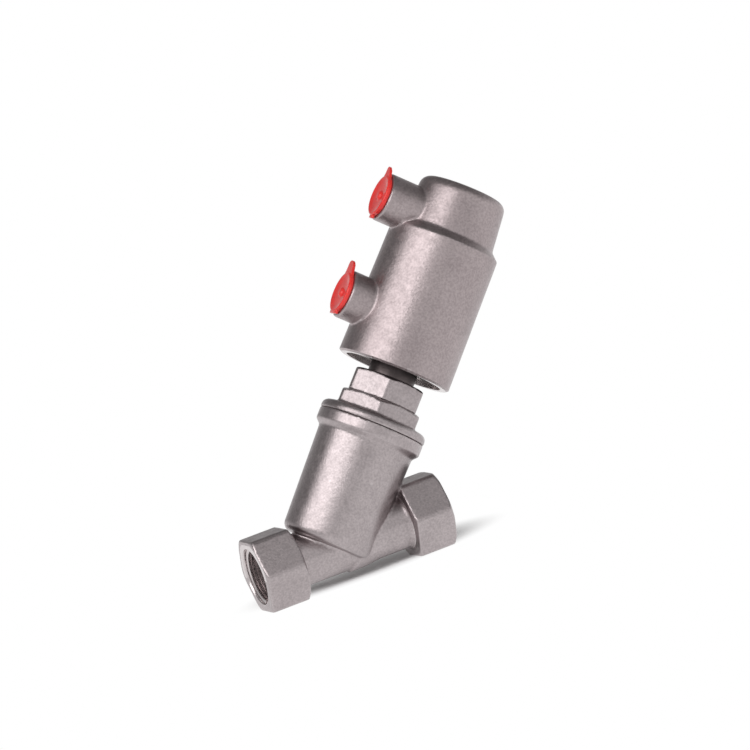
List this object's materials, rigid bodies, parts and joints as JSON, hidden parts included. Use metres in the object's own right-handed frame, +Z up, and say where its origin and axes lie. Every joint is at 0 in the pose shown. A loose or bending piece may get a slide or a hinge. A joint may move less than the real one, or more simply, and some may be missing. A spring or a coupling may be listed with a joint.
{
  "type": "liquid filling valve",
  "caption": "Pneumatic slanted-seat filling valve: cast stainless body with threaded ports in line, a spring-return round actuator on a slanted neck and removable air port plugs.",
  "frame": {"origin": "centre of the inlet end face", "axes": "+X along the flow line from inlet to outlet, +Z up, the stem leaning from the line towards the outlet in the XZ plane"},
  "size_m": [0.1673, 0.0542, 0.1746],
  "materials": {
    "cast_stainless": "blasted casting, satin",
    "blasted_stainless": "fine blasted, satin",
    "turned_stainless": "turned, satin",
    "spring_steel": "drawn wire, satin",
    "ptfe": "smooth",
    "rubber": "matt",
    "bronze": "turned",
    "aluminium": "turned",
    "red_plastic": "glossy"
  },
  "bodies": {
    "valve": {"valve_body": "cast_stainless", "body_gasket": "ptfe", "bonnet": "turned_stainless", "guide_bush": "ptfe", "packing_disc_springs": "spring_steel", "packing_washer": "turned_stainless", "packing_vee_rings": "ptfe", "gland_nipple": "turned_stainless", "stem_wiper": "ptfe", "stem_seal": "rubber", "swivel_washer": "turned_stainless", "swivel_circlip": "spring_steel"},
    "actuator": {"actuator_housing": "blasted_stainless", "end_cover": "turned_stainless", "end_cover_o_ring": "rubber", "end_cover_circlip": "spring_steel", "swivel_bush": "bronze", "swivel_seal": "rubber", "outer_return_spring": "spring_steel", "inner_return_spring": "spring_steel"},
    "stem": {"stem": "turned_stainless", "disc_holder": "turned_stainless", "disc_seal": "ptfe", "disc_washer": "turned_stainless", "disc_nut": "turned_stainless", "piston": "aluminium", "piston_seal": "rubber", "piston_guide_ring": "ptfe", "piston_washer": "turned_stainless", "piston_nut": "turned_stainless"},
    "lower_plug": {"lower_port_plug": "red_plastic"},
    "upper_plug": {"upper_port_plug": "red_plastic"}
  },
  "joints": [
    {"name": "actuator_swivel", "type": "hinge", "parent": "valve", "child": "actuator", "pos_m": [0.0342, 0, 0], "axis": [0.6626, 0, 0.749], "continuous": true},
    {"name": "stem_lift", "type": "slide", "parent": "valve", "child": "stem", "axis": [0.6626, 0, 0.749], "range_m": [0, 0.01], "stiffness_N_per_m": 8000, "springref_m": -0.02, "deforming": ["outer_return_spring", "inner_return_spring"]},
    {"name": "lower_plug_pull", "type": "slide", "parent": "actuator", "child": "lower_plug", "axis": [-0.749, 0, 0.6626], "range_m": [0, 0.03]},
    {"name": "upper_plug_pull", "type": "slide", "parent": "actuator", "child": "upper_plug", "axis": [-0.749, 0, 0.6626], "range_m": [0, 0.03]}
  ]
}
